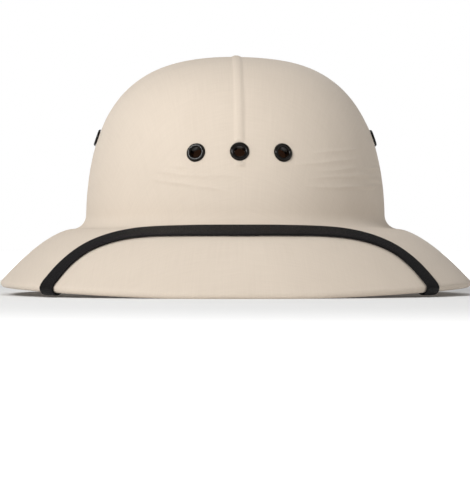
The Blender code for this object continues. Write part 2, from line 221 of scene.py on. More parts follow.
def crown_point(bend, angle):
    """The crown's outside; bend runs from FOOT_BEND at the foot to a quarter turn at the top."""
    level = math.sin(bend) ** (2 / CROWN_RISE)
    scale = max(0.0, math.cos(bend)) ** (2 / CROWN_FULLNESS)
    half_length = CROWN_HALF_LENGTH * scale
    plan = oval(angle, CROWN_HALF_WIDTH * scale, half_length, half_length, CROWN_OVAL)
    return plan + Vector((0, CROWN_Y, BRIM_Z + level * (HEIGHT - BRIM_Z)))


def crown_bend(z):
    """The bend at a height on the crown."""
    return math.asin(((z - BRIM_Z) / (HEIGHT - BRIM_Z)) ** (CROWN_RISE / 2))


@cache
def crown_foot(angle):
    """Where the crown's wall ends and the hollow curve starts."""
    return crown_point(FOOT_BEND, angle)


@cache
def rim_centre(angle):
    """The middle of the rolled rim: level at the front and the back, lifted at the sides."""
    beyond = max(0.0, abs(math.sin(angle)) - REST_SINE) / (1 - REST_SINE)
    plan = oval(
        angle,
        HALF_WIDTH - RIM_RADIUS,
        HALF_LENGTH + WIDEST_Y - RIM_RADIUS,
        HALF_LENGTH - WIDEST_Y - RIM_RADIUS,
        BRIM_OVAL,
    )
    return plan + Vector((0, WIDEST_Y, RIM_DROP + SIDE_LIFT * beyond**LIFT_CURVE))


@cache
def outward(curve, angle):
    """The level direction square to a curve round the helmet."""
    ahead = curve(angle + 2 * SMALL) - curve(angle - 2 * SMALL)
    return Vector((ahead.y, -ahead.x, 0)).normalized()


def rim_point(turn, angle, radius=RIM_RADIUS):
    """A point of the rim's round; turn runs from level outwards, up."""
    way = outward(rim_centre, angle) * math.cos(turn) + UP * math.sin(turn)
    return rim_centre(angle) + way * radius


def foot_point(bend, angle):
    """The hollow curve from the crown's wall (bend 0) to the brim (a quarter turn)."""
    way = outward(crown_foot, angle) * (1 - math.cos(bend)) - UP * math.sin(bend)
    return crown_foot(angle) + way * FOOT_RADIUS


@cache
def brim_ends(angle):
    """The brim's outside at the crown's foot and at the rim."""
    return foot_point(QUARTER, angle), rim_point(RIM_TANGENT, angle)


def brim_point(step, angle):
    """The brim's outside, from the crown's foot (step 0) to the rim (step 1)."""
    start, end = brim_ends(angle)
    point = start.lerp(end, step)
    point.z = end.z + (start.z - end.z) * (1 - step**BRIM_CURVE)
    return point


def normal(surface, value, angle):
    """The outward normal of one of the surfaces above."""
    around = surface(value, angle + 2 * SMALL) - surface(value, angle - 2 * SMALL)
    if surface is crown_point:
        low, high = max(value - SMALL, 0.0), min(value + SMALL, QUARTER - SMALL)
        along = surface(high, angle) - surface(low, angle)
    elif value < SMALL:
        along = surface(value, angle) - surface(value + SMALL, angle)
    else:
        along = surface(value - SMALL, angle) - surface(value, angle)
    return around.cross(along).normalized()


def steps(start, end, count):
    """Evenly spaced values from start to end, without the last."""
    return [start + (end - start) * i / count for i in range(count)]


# Fine wrinkles round the crown: first and last angle in degrees, height at each, how far it rises
WRINKLES = (
    (17, 56, 0.0770, 0.0826, 0.00036),
    (24, 57, 0.0841, 0.0888, 0.00034),
    (26, 54, 0.0738, 0.0770, 0.00034),
    (23, 66, 0.0692, 0.0737, 0.00044),
    (20, 72, 0.0642, 0.0664, 0.00046),
    (52, 78, 0.0755, 0.0792, 0.00044),
    (58, 80, 0.0700, 0.0706, 0.00040),
    (-33, -6, 0.0744, 0.0686, 0.00050),
    (-38, -2, 0.0704, 0.0618, 0.00056),
    (-26, -7, 0.0768, 0.0744, 0.00040),
    (-20, 3, 0.0724, 0.0700, 0.00034),
    (-142, -98, 0.0722, 0.0755, 0.00040),
    (-150, -106, 0.0668, 0.0700, 0.00044),
    (104, 148, 0.0790, 0.0752, 0.00040),
    (112, 158, 0.0736, 0.0694, 0.00044),
    (158, 204, 0.0640, 0.0662, 0.00034),
)
WRINKLE_WIDTH = 0.0012
WRINKLE_WANDER = 0.0007  # how far a wrinkle strays from a straight course
RIDGE_RISE = 0.0009
RIDGE_HALF = 0.0037
RIDGE_FLAT = 0.0006
RIDGE_END = 0.0755  # just below the middle vents, which are pressed into it
RIDGE_FADE = 0.0015
UNEVEN = 0.00035  # how far the pressed shell wanders from its mould
UNEVEN_SIZE = 0.045
EYELET_FLANGE = 0.0057
SMOOTH_BESIDE = 0.008  # the cloth lies smooth this far round a vent
# Vent eyelets: the node, angle round the helmet in degrees, height
EYELET_SPOTS = (
    ("eyelet_front_left", -16, 0.0845),
    ("eyelet_front_centre", 0, 0.0850),
    ("eyelet_front_right", 16, 0.0845),
    ("eyelet_side_left", -86, 0.0975),
    ("eyelet_side_right", 86, 0.0975),
    ("eyelet_back_left", -164, 0.0845),
    ("eyelet_back_centre", 180, 0.0850),
    ("eyelet_back_right", 164, 0.0845),
)
vent_places = [crown_point(crown_bend(z), math.radians(spot)) for _, spot, z in EYELET_SPOTS]


def eased(t):
    """A smooth step from 0 to 1."""
    t = min(max(t, 0.0), 1.0)
    return t * t * (3 - 2 * t)


def ridge_rise(point):
    """How far the ridge over the middle stands up at a point of the crown."""
    across = (RIDGE_HALF - abs(point.x)) / (RIDGE_HALF - RIDGE_FLAT)
    return RIDGE_RISE * eased(across) * eased((point.z - RIDGE_END) / RIDGE_FADE)


def wrinkle_rise(point, angle):
    """How far the wrinkles together stand up there, each wandering and waning in its own way."""
    rise = 0.0
    degrees = math.degrees(angle)
    for first, last, height_a, height_b, peak in WRINKLES:
        along = (degrees - first) % 360 / (last - first)
        if along < 1:
            wander = WRINKLE_WANDER * noise.noise(Vector((degrees * 0.13, height_a * 900, 3.7)))
            strength = 1.0 + 0.5 * noise.noise(Vector((degrees * 0.10, height_a * 500, 8.1)))
            away = (point.z - height_a - (height_b - height_a) * along - wander) / WRINKLE_WIDTH
            rise += peak * strength * eased(4 * min(along, 1 - along)) * math.exp(-away * away)
    return rise


def unevenness(point, height=UNEVEN):
    """Slow noise by place; its shift only picks a stretch of the noise."""
    return height * noise.noise(point / UNEVEN_SIZE + Vector((7.3, 1.9, 4.1)))


def pole_bend(radius):
    """The bend where the crown is this part of its full width."""
    return math.acos(min(radius ** (CROWN_FULLNESS / 2), 1.0))


TOP_SCALE = 0.30  # inside this part of its full width the crown's rows are spaced by width
WALL_TOP = 0.092  # and below this height by even steps of height
INSIDE_START = 0.955  # step of the brim where its inside leaves the rim's round
# The skin's rows, from the top down the outside, round the rim and up the inside: the surface,
# where on it, and how deep under the outside
shell_rows = [(crown_point, pole_bend(t), 0) for t in steps(0.0, TOP_SCALE, 26)]
shell_rows += [(crown_point, b, 0) for b in steps(pole_bend(TOP_SCALE), crown_bend(WALL_TOP), 44)]
shell_rows += [
    (crown_point, crown_bend(z), 0) for z in steps(WALL_TOP, BRIM_Z + FOOT_RADIUS, 68)
]
shell_rows += [(foot_point, b, 0) for b in steps(0, QUARTER, 9)]
shell_rows += [(brim_point, s, 0) for s in steps(0, 1, 38)]
shell_rows += [(rim_point, t, 0) for t in steps(RIM_TANGENT, RIM_END, 26)]
shell_rows += [(brim_point, s, WALL) for s in steps(INSIDE_START, 0, 20)]
shell_rows += [(foot_point, b, WALL) for b in steps(QUARTER, 0, 6)]
shell_rows += [(crown_point, b, WALL) for b in steps(FOOT_BEND, pole_bend(TOP_SCALE), 24)]
shell_rows += [(crown_point, pole_bend(t), WALL) for t in (*steps(TOP_SCALE, 0, 6), 0.0)]
# The rows down the outside, which the cloth's UV follows as far as the rim
RIM_ROW = sum(1 for surface, _, depth in shell_rows if surface is not rim_point and not depth)


def shell_point(row, angle):
    """A point of the shell's skin: the plain form, outside with unevenness, wrinkles and ridge."""
    surface, value, depth = shell_rows[row]
    place = surface(value, angle)
    if surface is rim_point:
        return place + outward(rim_centre, angle) * unevenness(place, height=UNEVEN / 2)
    if surface is crown_point and value >= QUARTER - SMALL:
        way = UP
    else:
        way = normal(surface, value, angle)
    if depth:
        return place - way * depth
    rise = unevenness(place)
    if surface is brim_point:
        rise *= 1 - 0.5 * value  # half as uneven at the rim
    if surface is crown_point:
        nearest = min((place - vent).length for vent in vent_places)
        clear = nearest - EYELET_FLANGE
        rise = (rise + wrinkle_rise(place, angle)) * eased(clear / SMOOTH_BESIDE)
        rise += ridge_rise(place) * eased(clear / RIDGE_FADE)
    return place + way * rise


CROWDING = 0.62
TOUCHING = 1e-7  # points this close are merged


def crowded(part):
    """The angle of a part of a turn, with the columns crowded at the front and the back."""
    return 2 * math.pi * part - CROWDING * math.sin(4 * math.pi * part) / 2


def drawn_skin(columns, rows, place, lay):
    """A flat grid drawn into shape: place(row, column) gives each point, and lay its UV."""
    mesh = bmesh.new()
    bmesh.ops.create_grid(mesh, x_segments=columns, y_segments=rows, size=0.5)
    cloth = mesh.loops.layers.uv.new("cloth")
    spots = {
        v: (round((0.5 - v.co.y) * rows), round((v.co.x + 0.5) * columns)) for v in mesh.verts
    }
    for face in mesh.faces:
        for loop in face.loops:
            loop[cloth].uv = lay(*spots[loop.vert])
    for vert, spot in spots.items():
        vert.co = place(*spot)
    bmesh.ops.remove_doubles(mesh, verts=mesh.verts, dist=TOUCHING)
    bmesh.ops.dissolve_degenerate(mesh, edges=mesh.edges, dist=TOUCHING)
    bmesh.ops.recalc_face_normals(mesh, faces=mesh.faces)
    return mesh


def domed_skin(angles, places, fold_row):
    """A skin closed round the helmet, with its UV laid flat from the middle of the crown, as cloth
    is smoothed down all round. From fold_row on the rows run back up the inside."""
    columns = len(angles)
    runs = [[0.0] * columns]
    for above, below in zip(places, places[1:]):
        runs.append([run + (b - a).length for run, a, b in zip(runs[-1], above, below)])

    def place(row, column):
        return places[row][column % columns]

    def lay(row, column):
        column %= columns
        run = min(runs[row][column], 2 * runs[fold_row][column] - runs[row][column])
        return run * math.sin(angles[column]), -run * math.cos(angles[column])

    return drawn_skin(columns, len(places) - 1, place, lay)


SHARP_FROM = math.radians(50)


def finished(name, mesh, look):
    """Links a bmesh as a piece of the helmet, which rides with its one body."""
    data = bpy.data.meshes.new(name)
    mesh.to_mesh(data)
    mesh.free()
    data.shade_smooth()
    data.set_sharp_from_angle(angle=SHARP_FROM)
    data.materials.append(look)
    piece = bpy.data.objects.new(name, data)
    bpy.context.scene.collection.objects.link(piece)
    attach(piece, "root")
    return piece


def wired(look, kind, inputs, **settings):
    """A new node of a material, with its inputs set, or linked where the value is a socket."""
    made = look.node_tree.nodes.new(kind)
    for key, value in settings.items():
        setattr(made, key, value)
    for key, value in inputs.items():
        if isinstance(value, bpy.types.NodeSocket):
            look.node_tree.links.new(value, made.inputs[key])
        else:
            made.inputs[key].default_value = value
    return made


def blank_look(name, specular):
    """A new material and its shader."""
    look = bpy.data.materials.new(name)
    look.use_nodes = True
    shader = look.node_tree.nodes["Principled BSDF"]
    shader.inputs["Specular IOR Level"].default_value = specular
    return look, shader


def woven_look(name, dark, pale, pitch, relief, roughness, sheen):
    """Plain-woven cloth: threads of a pitch in metres over and under each other, slubs that make
    some threads thicker and paler, and a slow cloudiness in the dye."""
    look, shader = blank_look(name, specular=0.2)
    shader.inputs["Roughness"].default_value = roughness
    laid = wired(look, "ShaderNodeUVMap", {}, uv_map="cloth").outputs["UV"]
    bands = math.pi / 10 / pitch  # a wave texture repeats every pi / 10 metres at scale 1
    warp = wired(look, "ShaderNodeTexWave", {"Vector": laid, "Scale": bands}, bands_direction="X")
    weft = wired(look, "ShaderNodeTexWave", {"Vector": laid, "Scale": bands}, bands_direction="Y")
    over = wired(look, "ShaderNodeTexChecker", {"Vector": laid, "Scale": 1 / pitch})
    weave = wired(
        look,
        "ShaderNodeMix",
        {"Factor": over.outputs["Fac"], "A": warp.outputs["Fac"], "B": weft.outputs["Fac"]},
    )
    slubs = []
    for stretch in ((40, 900, 1), (900, 40, 1)):  # long with one set of threads, then the other
        stretched = wired(look, "ShaderNodeMapping", {"Vector": laid, "Scale": stretch})
        threads = stretched.outputs["Vector"]
        slubs.append(wired(
            look, "ShaderNodeTexNoise", {"Vector": threads, "Scale": 1, "Detail": 2}
        ).outputs["Fac"])
    slub = wired(look, "ShaderNodeMath", {0: slubs[0], 1: slubs[1]}, operation="ADD")
    place = wired(look, "ShaderNodeTexCoord", {}).outputs["Object"]
    cloud = wired(look, "ShaderNodeTexNoise", {"Vector": place, "Scale": 22, "Detail": 3})
    tone = wired(
        look,
        "ShaderNodeMath",
        {0: slub.outputs["Value"], 1: cloud.outputs["Fac"]},
        operation="ADD",
    )
    spread = wired(
        look,
        "ShaderNodeMapRange",
        {"Value": tone.outputs["Value"], "From Min": 1.0, "From Max": 2.0},
    )
    colour = wired(
        look,
        "ShaderNodeMix",
        {"Factor": spread.outputs["Result"], "A": (*dark, 1), "B": (*pale, 1)},
        data_type="RGBA",
    )
    look.node_tree.links.new(colour.outputs[2], shader.inputs["Base Color"])
    height = wired(
        look,
        "ShaderNodeMath",
        {0: slub.outputs["Value"], 1: 0.6, 2: weave.outputs["Result"]},
        operation="MULTIPLY_ADD",
    )
    bump = wired(
        look,
        "ShaderNodeBump",
        {"Height": height.outputs["Value"], "Distance": relief, "Strength": 0.8},
    )
    look.node_tree.links.new(bump.outputs["Normal"], shader.inputs["Normal"])
    shader.inputs["Sheen Weight"].default_value = sheen
    shader.inputs["Sheen Roughness"].default_value = 0.5
    return look


cream_cloth = woven_look(
    "cream_cloth",
    dark=(0.632, 0.545, 0.452),
    pale=(0.676, 0.586, 0.489),
    pitch=0.0006,
    relief=0.00004,
    roughness=0.85,
    sheen=0.12,
)
SHELL_COLUMNS = 288
shell_angles = [crowded(i / SHELL_COLUMNS) for i in range(SHELL_COLUMNS)]
shell_places = [
    [shell_point(row, angle) for angle in shell_angles] for row in range(len(shell_rows))
]
for ring in shell_places:
    for point in ring:
        point.z = max(point.z, 0.0)  # flat where it rests
shell = finished("shell_skin", domed_skin(shell_angles, shell_places, RIM_ROW), cream_cloth)
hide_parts("shell")


# Lining. A cup of thin brown cloth inside the crown, held by the eyelets and cut off straight
# where the brim begins.

LINING_OUT = 0.0030  # how far its two faces lie under the crown's outside
LINING_IN = 0.0040
LINING_FOOT = BRIM_Z + FOOT_RADIUS + 0.0005
LINING_ROUND = 0.002  # how far, in bend, its cut edge is rounded out
RUMPLE = 0.0002
RUMPLE_SIZE = 0.012

brown_lining = woven_look(
    "brown_lining",
    dark=(0.135, 0.060, 0.031),
    pale=(0.215, 0.101, 0.054),
    pitch=0.0010,
    relief=0.00010,
    roughness=0.9,
    sheen=0.15,
)
LINING_COLUMNS = 160
lining_bends = [pole_bend(t) for t in steps(0, TOP_SCALE, 5)]
lining_bends += steps(pole_bend(TOP_SCALE), crown_bend(LINING_FOOT), 46)
lining_bends.append(crown_bend(LINING_FOOT))


def under_crown(bend, angle, depth, rumple=0.0):
    """A point this deep under the crown's outside, more or less by a slow rumple."""
    place = crown_point(bend, angle)
    way = UP if bend >= QUARTER - SMALL else normal(crown_point, bend, angle)
    return place - way * (depth + rumple * noise.noise(place / RUMPLE_SIZE))


lining_angles = [2 * math.pi * i / LINING_COLUMNS for i in range(LINING_COLUMNS)]
lining_places = [[under_crown(b, a, LINING_OUT) for a in lining_angles] for b in lining_bends]
edge_bend = lining_bends[-1] - LINING_ROUND
edge_depth = (LINING_OUT + LINING_IN) / 2
lining_places.append([under_crown(edge_bend, a, edge_depth) for a in lining_angles])
lining_places += [
    [under_crown(b, a, LINING_IN, RUMPLE) for a in lining_angles] for b in reversed(lining_bends)
]
lining_mesh = domed_skin(lining_angles, lining_places, len(lining_bends))
lining = finished("lining_cup", lining_mesh, brown_lining)
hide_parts("crown_lining")


# Vent eyelets. Brass, lacquered black, each pressed through shell and lining and rolled over on
# both sides: three in the front, three behind and one on each side.

EYELET_BORE = 0.0032
EYELET_BARREL = 0.0038
EYELET_CROWN = 0.0014  # height of the rolled lip above the shell
EYELET_TAIL = 0.0053  # depth of the rolled tail behind the lining
EYELET_STEPS = 48
LIP = 0.0011  # radii of the rolled lip, outside and inside, and of the tail
LIP_INSIDE = 0.0010
TAIL_ROLL = 0.0003
LIP_FLARE = 0.0003  # the lip's edge is this much wider than its round
LIP_EDGE = ((0, 0.00015), (0.0002, 0.00005))  # its two corners: in from the flange, over the cloth
LIP_UNDER = 0.0002  # how far the lip stands off the cloth where it meets the barrel
TAIL_WIDER = 0.0007  # from the barrel to the middle of the tail's roll
BORE_EASED = 0.0002
HOLE_CLEARANCE = 0.0004
HOLE_SEGMENTS = 40
CUT_TOUCHING = 1e-6

black_lacquer, shader = blank_look("black_lacquer", specular=0.15)
shader.inputs["Base Color"].default_value = (0.005, 0.0035, 0.0025, 1)
shader.inputs["Coat Weight"].default_value = 0.15
shader.inputs["Coat Roughness"].default_value = 0.04
place = wired(black_lacquer, "ShaderNodeTexCoord", {}).outputs["Object"]
orange_peel = wired(
    black_lacquer, "ShaderNodeTexNoise", {"Vector": place, "Scale": 900, "Detail": 2}
)
handled = wired(
    black_lacquer, "ShaderNodeTexNoise", {"Vector": place, "Scale": 260, "Detail": 3}
)
gloss = wired(
    black_lacquer,
    "ShaderNodeMapRange",
    {
        "Value": handled.outputs["Fac"],
        "From Min": 0.3,
        "From Max": 0.75,
        "To Min": 0.08,
        "To Max": 0.20,
    },
)
black_lacquer.node_tree.links.new(gloss.outputs["Result"], shader.inputs["Roughness"])
lacquer_bump = wired(
    black_lacquer,
    "ShaderNodeBump",
    {"Height": orange_peel.outputs["Fac"], "Distance": 0.00002, "Strength": 0.5},
)
black_lacquer.node_tree.links.new(lacquer_bump.outputs["Normal"], shader.inputs["Normal"])


def arc(centre, radius, start, end, count):
    """Points of (out, up) on an arc, angles in degrees from outward."""
    turns = [math.radians(start + (end - start) * i / count) for i in range(count + 1)]
    return [(centre[0] + radius * math.cos(t), centre[1] + radius * math.sin(t)) for t in turns]


def seat(spot_angle, z):
    """The matrix that sets a piece on the crown's surface, with its Z axis outwards."""
    angle, bend = math.radians(spot_angle), crown_bend(z)
    way = normal(crown_point, bend, angle)
    turn = way.to_track_quat("Z", "Y").to_matrix().to_4x4()
    turn.translation = crown_point(bend, angle)
    return turn


def turned_mesh(profile, count):
    """A profile of (out, up), spun round Z and closed."""
    mesh = bmesh.new()
    ends = [mesh.verts.new((out, 0, up)) for out, up in profile]
    run = [mesh.edges.new(pair) for pair in zip(ends, ends[1:])]
    if profile[0][0] > 0:  # a ring, and not a plug whose profile starts and ends on the axis
        run.append(mesh.edges.new((ends[-1], ends[0])))
    bmesh.ops.spin(
        mesh,
        geom=[*ends, *run],
        cent=(0, 0, 0),
        axis=(0, 0, 1),
        angle=2 * math.pi,
        steps=count,
        use_merge=True,
    )
    bmesh.ops.remove_doubles(mesh, verts=mesh.verts, dist=TOUCHING)
    bmesh.ops.recalc_face_normals(mesh, faces=mesh.faces)
    return mesh


eyelet_profile = [
    *arc((EYELET_BORE + LIP_INSIDE, EYELET_CROWN - LIP_INSIDE), LIP_INSIDE, 180, 90, 7),
    *arc((EYELET_FLANGE - LIP - LIP_FLARE, EYELET_CROWN - LIP), LIP, 90, 0, 7),
    *((EYELET_FLANGE - back, up) for back, up in LIP_EDGE),
    (EYELET_BARREL, LIP_UNDER),
    (EYELET_BARREL, 2 * TAIL_ROLL - EYELET_TAIL),
    *arc((EYELET_BARREL + TAIL_WIDER, TAIL_ROLL - EYELET_TAIL), TAIL_ROLL, 90, -90, 4),
    (EYELET_BORE + BORE_EASED, -EYELET_TAIL),
    (EYELET_BORE, TAIL_ROLL - EYELET_TAIL),
]
for name, spot_angle, z in EYELET_SPOTS:
    mesh = turned_mesh(eyelet_profile, EYELET_STEPS)
    bmesh.ops.transform(mesh, matrix=seat(spot_angle, z), verts=mesh.verts)
    eyelet = finished(name.replace("eyelet", "vent"), mesh, black_lacquer)
    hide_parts(name)


def cut(piece, tool):
    """Cuts a bmesh tool out of a finished piece for good."""
    data = bpy.data.meshes.new("tool")
    tool.to_mesh(data)
    tool.free()
    cutter = bpy.data.objects.new("tool", data)
    bpy.context.scene.collection.objects.link(cutter)
    step = piece.modifiers.new("cut", "BOOLEAN")
    step.operation = "DIFFERENCE"
    step.solver = "EXACT"
    step.object = cutter
    graph = bpy.context.evaluated_depsgraph_get()
    made = bpy.data.meshes.new_from_object(piece.evaluated_get(graph), depsgraph=graph)
    clean = bmesh.new()
    clean.from_mesh(made)
    bmesh.ops.remove_doubles(clean, verts=clean.verts, dist=CUT_TOUCHING)
    bmesh.ops.dissolve_degenerate(clean, edges=clean.edges, dist=CUT_TOUCHING)
    clean.to_mesh(made)
    clean.free()
    piece.modifiers.clear()
    old = piece.data
    piece.data = made
    bpy.data.meshes.remove(old)
    bpy.data.objects.remove(cutter)
    bpy.data.meshes.remove(data)


def drilled(seats, radius, depth):
    """Round tools for holes at the seats, turned so that no corner falls on a skin's column."""
    holes = bmesh.new()
    off_column = Matrix.Rotation(math.radians(3), 4, "Z")
    for seated in seats:
        bmesh.ops.create_cone(
            holes,
            cap_ends=True,
            segments=HOLE_SEGMENTS,
            radius1=radius,
            radius2=radius,
            depth=depth,
            matrix=seated @ off_column,
        )
    return holes


vent_seats = [seat(spot_angle, z) for _, spot_angle, z in EYELET_SPOTS]
for piece in (shell, lining):
    cut(piece, drilled(vent_seats, EYELET_BARREL + HOLE_CLEARANCE, 4 * EYELET_TAIL))


# Headband. A stiff strip of black leatherette that stands off the shell all round, leaning out
# towards its foot, where it is turned over a cord. Long windows are cut out of it at the back.

BAND_STAND_OFF = 0.0088  # from the crown's foot to the band's outside at its top
BAND_WALL = 0.0018
BAND_FLARE = 0.0036
BAND_BOTTOM = 0.0395
BAND_TOP = 0.0720
BAND_ROUND = 0.59  # its length round, for the UV
BAND_HEM = 0.0030  # how thick and high the turned-over foot is
HEM_TOP = BAND_BOTTOM + BAND_HEM
# Crease over the hem, outside and inside: its depth, its height over the hem, and where it ends
OUTER_CREASE = (0.0002, 0.0009, 0.0014)
INNER_CREASE = (0.0001, 0.0008, 0.0016)
# Windows: middle angle in degrees, length round the band
WINDOWS = ((-122, 0.062), (-176, 0.058), (142, 0.030))
WINDOW_HEIGHT = 0.0150
WINDOW_CORNER = 0.0055
WINDOW_Z = 0.0560
WINDOW_DEPTH = 0.030  # of the tool that cuts it
BAND_COLUMNS = 300

LEATHER_BLACK = (0.0042, 0.0036, 0.0039)
LEATHER_PALER = 1.9  # how much paler the worn patches are, and a fold painted paler grey: a painted highlight with rubbing
LEATHER_SHEEN_AND_WEAR = 9
GRAIN = 0.0007  # size of the pebbles
GRAIN_RELIEF = 0.00007
SHEEN_AND_WEAR_HALF = 0.0034


def leather_look(name, roughness, sheen_and_wear_at=None):
    """Coated cloth with a pressed grain of pebbles, duller in the dips. Along a fold, which lies
    this far across the piece's UV, it can be painted paler grey: a painted highlight with rubbing."""
    look, shader = blank_look(name, specular=0.12)
    place = wired(look, "ShaderNodeTexCoord", {}).outputs["Object"]
    bent = wired(look, "ShaderNodeTexNoise", {"Vector": place, "Scale": 0.3 / GRAIN, "Detail": 2})
    shift = wired(
        look,
        "ShaderNodeVectorMath",
        {0: bent.outputs["Color"], "Scale": GRAIN * 1.5},
        operation="SCALE",
    )
    moved = wired(
        look, "ShaderNodeVectorMath", {0: place, 1: shift.outputs["Vector"]}, operation="ADD"
    )
    pebbles = wired(
        look,
        "ShaderNodeTexVoronoi",
        {"Vector": moved.outputs["Vector"], "Scale": 1 / GRAIN},
        feature="DISTANCE_TO_EDGE",
    )
    domes = wired(
        look,
        "ShaderNodeMapRange",
        {"Value": pebbles.outputs["Distance"], "From Max": 0.35},
        interpolation_type="SMOOTHSTEP",
    )
    dull = wired(
        look,
        "ShaderNodeMapRange",
        {"Value": domes.outputs["Result"], "To Min": roughness + 0.18, "To Max": roughness - 0.05},
    )
    worn = wired(look, "ShaderNodeTexNoise", {"Vector": place, "Scale": 60, "Detail": 4})
    black = (*LEATHER_BLACK, 1)
    faded = (*(LEATHER_PALER * c for c in LEATHER_BLACK), 1)
    grey = (*(LEATHER_SHEEN_AND_WEAR * c for c in LEATHER_BLACK), 1)
    tint = wired(
        look,
        "ShaderNodeMix",
        {"Factor": worn.outputs["Fac"], "A": black, "B": faded},
        data_type="RGBA",
    )
    bump = wired(
        look,
        "ShaderNodeBump",
        {"Height": domes.outputs["Result"], "Distance": GRAIN_RELIEF, "Strength": 0.7},
    )
    # paler grey along the fold: a painted highlight on the hem, together with rubbing
    if sheen_and_wear_at:
        laid = wired(look, "ShaderNodeUVMap", {}, uv_map="cloth")
        across = wired(look, "ShaderNodeSeparateXYZ", {"Vector": laid.outputs["UV"]}).outputs["Y"]
        away = wired(look, "ShaderNodeMath", {0: across, 1: sheen_and_wear_at}, operation="SUBTRACT")
        apart = wired(look, "ShaderNodeMath", {0: away.outputs["Value"]}, operation="ABSOLUTE")
        near = wired(
            look,
            "ShaderNodeMapRange",
            {
                "Value": apart.outputs["Value"],
                "From Min": SHEEN_AND_WEAR_HALF,
                "From Max": SHEEN_AND_WEAR_HALF / 2,
            },
            interpolation_type="SMOOTHSTEP",
        )
        patchy = wired(
            look,
            "ShaderNodeMapRange",
            {"Value": worn.outputs["Fac"], "From Min": 0.35, "From Max": 0.65, "To Min": 0.35},
        )
        sheen_and_wear_mask = wired(
            look,
            "ShaderNodeMath",
            {0: near.outputs["Result"], 1: patchy.outputs["Result"]},
            operation="MULTIPLY",
        )
        tint = wired(
            look,
            "ShaderNodeMix",
            {"Factor": sheen_and_wear_mask.outputs["Value"], "A": tint.outputs[2], "B": grey},
            data_type="RGBA",
        )
    look.node_tree.links.new(tint.outputs[2], shader.inputs["Base Color"])
    look.node_tree.links.new(dull.outputs["Result"], shader.inputs["Roughness"])
    look.node_tree.links.new(bump.outputs["Normal"], shader.inputs["Normal"])
    return look


def band_place(angle, out, z):
    """A point of the headband: out from the middle of its wall, at a height."""
    way = outward(crown_foot, angle)
    lean = BAND_FLARE * (BAND_TOP - z) / (BAND_TOP - BAND_BOTTOM)
    place = crown_foot(angle) + way * (lean + out - BAND_STAND_OFF - BAND_WALL / 2)
    place.z = z
    return place


half = BAND_WALL / 2
roll = BAND_HEM / 2
rounded_top = arc((0, BAND_TOP - half), half, 180, 0, 8)
depth, over_hem, crease_end = OUTER_CREASE
outer_face = [(half, z) for z in steps(BAND_TOP - 2 * half, HEM_TOP + crease_end, 14)]
band_section = [*rounded_top, *outer_face, (half - depth, HEM_TOP + over_hem)]
band_section += arc((half - roll, BAND_BOTTOM + roll), roll, 40, -220, 18)
depth, over_hem, crease_end = INNER_CREASE
inner_face = [(-half, z) for z in steps(HEM_TOP + crease_end, BAND_TOP - half, 14)]
band_section += [(-half + depth, HEM_TOP + over_hem), *inner_face]
band_run = [0.0]
for (out_a, z_a), (out_b, z_b) in zip(band_section, band_section[1:] + band_section[:1]):
    band_run.append(band_run[-1] + math.hypot(out_b - out_a, z_b - z_a))


def band_skin_place(row, column):
    """A point of the headband's skin: row runs round its section, column round the helmet."""
    angle = 2 * math.pi * (column % BAND_COLUMNS) / BAND_COLUMNS
    return band_place(angle, *band_section[row % len(band_section)])


band_mesh = drawn_skin(
    BAND_COLUMNS,
    len(band_section),
    band_skin_place,
    lambda row, column: (BAND_ROUND * column / BAND_COLUMNS, band_run[row]),
)
hem_first = len(rounded_top) + len(outer_face)
hem_last = len(band_section) - len(inner_face)
hem_run = (band_run[hem_first] + band_run[hem_last]) / 2
# the hem's fold is painted paler grey, a painted highlight with rubbing
hem_sheen_and_wear_leatherette = leather_look("hem_sheen_and_wear_leatherette", roughness=0.44, sheen_and_wear_at=hem_run)
band = finished("headband_strip", band_mesh, hem_sheen_and_wear_leatherette)
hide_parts("headband")
windows = bmesh.new()
for degrees, length in WINDOWS:
    box = bmesh.ops.create_cube(windows, size=1)["verts"]
    bmesh.ops.scale(windows, vec=(length, WINDOW_DEPTH, WINDOW_HEIGHT), verts=box)
    edges = {e for v in box for e in v.link_edges}
    corners = [e for e in edges if abs(e.verts[0].co.y - e.verts[1].co.y) > WINDOW_DEPTH / 2]
    rounded = bmesh.ops.bevel(
        windows,
        geom=corners,
        offset=WINDOW_CORNER,
        segments=7,
        profile=0.5,
        affect="EDGES",
        material=-1,
    )
    island = {v for f in rounded["faces"] for v in f.verts}
    angle = math.radians(degrees)
    way = outward(crown_foot, angle)
    turn = Matrix.Rotation(math.atan2(way.y, way.x) - QUARTER, 4, "Z")
    turn.translation = band_place(angle, 0, WINDOW_Z)
    bmesh.ops.transform(windows, matrix=turn, verts=list(island))
bmesh.ops.recalc_face_normals(windows, faces=windows.faces)
cut(band, windows)


# Spacers. Six small blocks of brown felt, cut from thick sheet and glued between headband and
# lining, so that the band stands off the shell and air can pass.

SPACERS = (
    ("band_spacer_front_left", -26),
    ("band_spacer_front_right", 26),
    ("band_spacer_side_left", -84),
    ("band_spacer_side_right", 84),
    ("band_spacer_back_left", -148),
    ("band_spacer_back_right", 156),
)
SPACER_ARC = 9.0  # degrees round the helmet
SPACER_BOTTOM = 0.0510
SPACER_TOP = 0.0635
SPACER_ROUND = 0.10  # rounding of its edges and roughness of its faces, as parts of its size
SPACER_FUZZ = 0.06
GAP = 0.0003  # between one piece and the next

